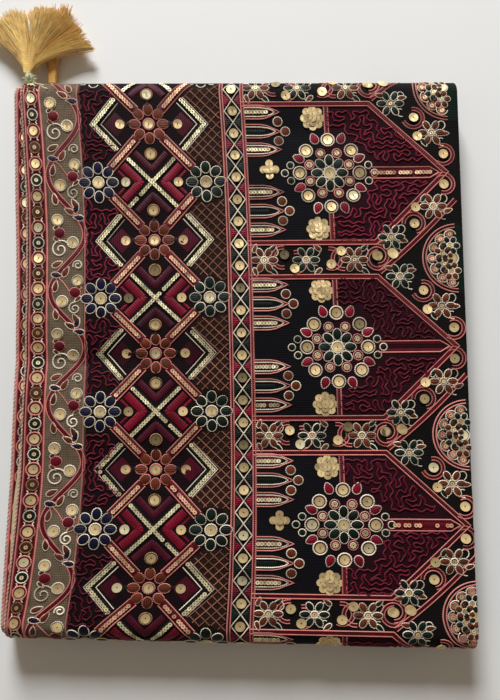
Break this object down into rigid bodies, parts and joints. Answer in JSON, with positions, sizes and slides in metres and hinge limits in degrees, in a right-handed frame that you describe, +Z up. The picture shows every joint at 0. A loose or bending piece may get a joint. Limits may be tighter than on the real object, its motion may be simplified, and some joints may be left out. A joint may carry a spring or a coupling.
{
  "type": "embroidered dupatta, folded flat",
  "caption": "Long embroidered shawl, doubled and rolled flat into a rectangular bundle, with two corner tassels at one end.",
  "frame": {"origin": "centre of the underside of the folded bundle, on the surface it rests on", "axes": "+Z up out of the bundle's face, +Y towards the end with the corner tassels, +X towards the folded side, -X towards the long hems"},
  "size_m": [0.3877, 0.5171, 0.0284],
  "materials": {
    "embroidered_cloth": "dark net with cord, satin and sequin embroidery",
    "edge_tape": "cream woven tape",
    "edge_cord": "twisted pink cord",
    "tassel_cap": "pale gold tinsel",
    "tassel_thread": "gold rayon thread with a sheen"
  },
  "bodies": {
    "root": {"face_panel": "embroidered_cloth", "roll_panel": "embroidered_cloth", "under_panel": "embroidered_cloth", "under_end_panel": "embroidered_cloth", "inner_layers": "embroidered_cloth", "edge_tape": "edge_tape", "face_piping": "edge_cord", "under_piping": "edge_cord", "tassel_a_cap": "tassel_cap", "tassel_b_cap": "tassel_cap", "tassel_a_skirt": "tassel_thread", "tassel_b_skirt": "tassel_thread"}
  },
  "joints": []
}
